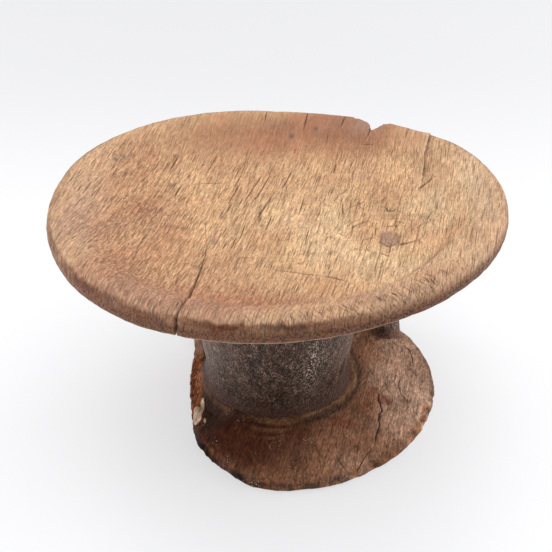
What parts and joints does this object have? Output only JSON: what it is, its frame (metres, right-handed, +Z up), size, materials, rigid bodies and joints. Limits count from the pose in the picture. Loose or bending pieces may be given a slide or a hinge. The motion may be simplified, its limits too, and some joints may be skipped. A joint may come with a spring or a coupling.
{
  "type": "headrest",
  "caption": "Low round headrest carved from one log: dished seat on a heavy column, one side strut and a thin round base whose left part has split away.",
  "frame": {"origin": "on the flat underside of the base, under the middle of the column", "axes": "+Z up through the seat, +Y away from the front, along which the seat's grain runs, +X to the right, the seat's higher side"},
  "size_m": [0.2845, 0.2708, 0.1533],
  "materials": {
    "seat_wood": "worn bare wood, dry, with open grain",
    "column_wood": "dark handled patina with a soft sheen",
    "strut_wood": "dark handled patina, greyer where worn",
    "base_wood": "dull reddish brown, dusty, with raw orange wood on the breaks"
  },
  "bodies": {
    "root": {"seat": "seat_wood", "column": "column_wood", "side_strut": "strut_wood", "base": "base_wood"}
  },
  "joints": []
}
